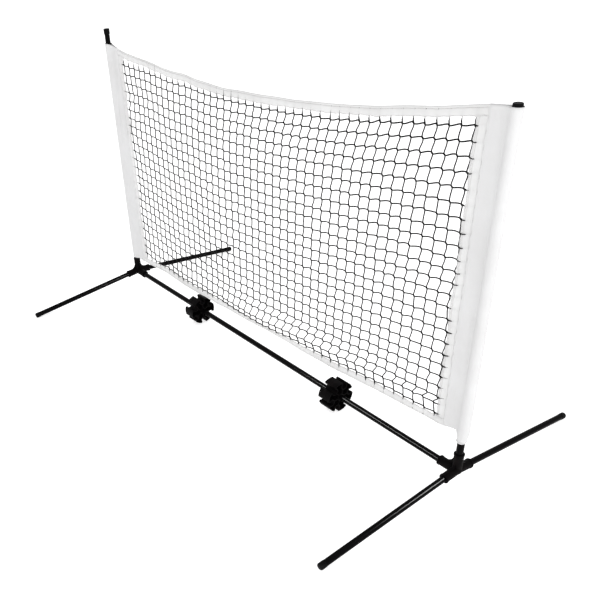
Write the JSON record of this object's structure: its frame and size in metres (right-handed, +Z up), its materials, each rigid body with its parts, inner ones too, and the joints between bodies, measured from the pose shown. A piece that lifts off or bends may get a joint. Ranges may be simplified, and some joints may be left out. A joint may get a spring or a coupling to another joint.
{
  "type": "portable badminton net",
  "caption": "Free-standing badminton net: knotted mesh edged with fabric tape, sleeved onto push-fit posts that stand on sloping legs joined by a crossbar with clip hubs.",
  "frame": {"origin": "on the floor, midway between the two posts", "axes": "+X towards the right post, +Y towards the rear legs, +Z up"},
  "size_m": [3, 1.6896, 1.711],
  "materials": {
    "connector_plastic": "fine-grained moulded black plastic",
    "hub_plastic": "fine-grained moulded black plastic",
    "cap_plastic": "smooth black plastic",
    "tube_paint": "satin black powder coat",
    "twine": "twisted black twine, knotted in squares",
    "tape_fabric": "thin white woven tape, folded and stitched",
    "sleeve_fabric": "thin white woven cloth",
    "cord_fabric": "white braided cord"
  },
  "bodies": {
    "base": {"left_base_connector": "connector_plastic", "right_base_connector": "connector_plastic", "left_crossbar_tube": "tube_paint", "centre_crossbar_tube": "tube_paint", "right_crossbar_tube": "tube_paint"},
    "left_front_leg_unit": {"left_front_leg": "tube_paint", "left_front_leg_cap": "cap_plastic"},
    "left_rear_leg_unit": {"left_rear_leg": "tube_paint", "left_rear_leg_cap": "cap_plastic"},
    "right_front_leg_unit": {"right_front_leg": "tube_paint", "right_front_leg_cap": "cap_plastic"},
    "right_rear_leg_unit": {"right_rear_leg": "tube_paint", "right_rear_leg_cap": "cap_plastic"},
    "left_hub": {"left_clip_hub": "hub_plastic"},
    "right_hub": {"right_clip_hub": "hub_plastic"},
    "left_lower": {"left_post_lower": "tube_paint"},
    "right_lower": {"right_post_lower": "tube_paint"},
    "left_upper": {"left_post_upper": "tube_paint", "left_post_cap": "cap_plastic"},
    "right_upper": {"right_post_upper": "tube_paint", "right_post_cap": "cap_plastic"},
    "net": {"net_mesh": "twine", "top_tape": "tape_fabric", "bottom_tape": "tape_fabric", "left_side_tape": "tape_fabric", "right_side_tape": "tape_fabric", "headline_cord": "cord_fabric", "left_sleeve": "sleeve_fabric", "right_sleeve": "sleeve_fabric"}
  },
  "joints": [
    {"name": "left_front_leg_pull", "type": "slide", "parent": "base", "child": "left_front_leg_unit", "axis": [0, -0.9951, -0.0993], "range_m": [0, 0.06]},
    {"name": "left_rear_leg_pull", "type": "slide", "parent": "base", "child": "left_rear_leg_unit", "axis": [0, 0.9951, -0.0993], "range_m": [0, 0.06]},
    {"name": "right_front_leg_pull", "type": "slide", "parent": "base", "child": "right_front_leg_unit", "axis": [0, -0.9951, -0.0993], "range_m": [0, 0.06]},
    {"name": "right_rear_leg_pull", "type": "slide", "parent": "base", "child": "right_rear_leg_unit", "axis": [0, 0.9951, -0.0993], "range_m": [0, 0.06]},
    {"name": "left_hub_turn", "type": "hinge", "parent": "base", "child": "left_hub", "pos_m": [-0.658, 0, 0.09578], "axis": [1, 0, 0], "continuous": true},
    {"name": "right_hub_turn", "type": "hinge", "parent": "base", "child": "right_hub", "pos_m": [0.658, 0, 0.09578], "axis": [1, 0, 0], "continuous": true},
    {"name": "left_post_lift", "type": "slide", "parent": "base", "child": "left_lower", "axis": [0, 0, 1], "range_m": [0, 0.06]},
    {"name": "right_post_lift", "type": "slide", "parent": "base", "child": "right_lower", "axis": [0, 0, 1], "range_m": [0, 0.06]},
    {"name": "left_upper_tube_lift", "type": "slide", "parent": "left_lower", "child": "left_upper", "axis": [0, 0, 1], "range_m": [0, 0.095]},
    {"name": "right_upper_tube_lift", "type": "slide", "parent": "right_lower", "child": "right_upper", "axis": [0, 0, 1], "range_m": [0, 0.095]},
    {"name": "net_lift", "type": "slide", "parent": "left_upper", "child": "net", "axis": [0, 0, 1], "range_m": [0, 0.25]}
  ],
  "couplings": [
    {"joint": "right_post_lift", "follows": "left_post_lift", "ratio": 1},
    {"joint": "right_upper_tube_lift", "follows": "left_upper_tube_lift", "ratio": 1}
  ]
}
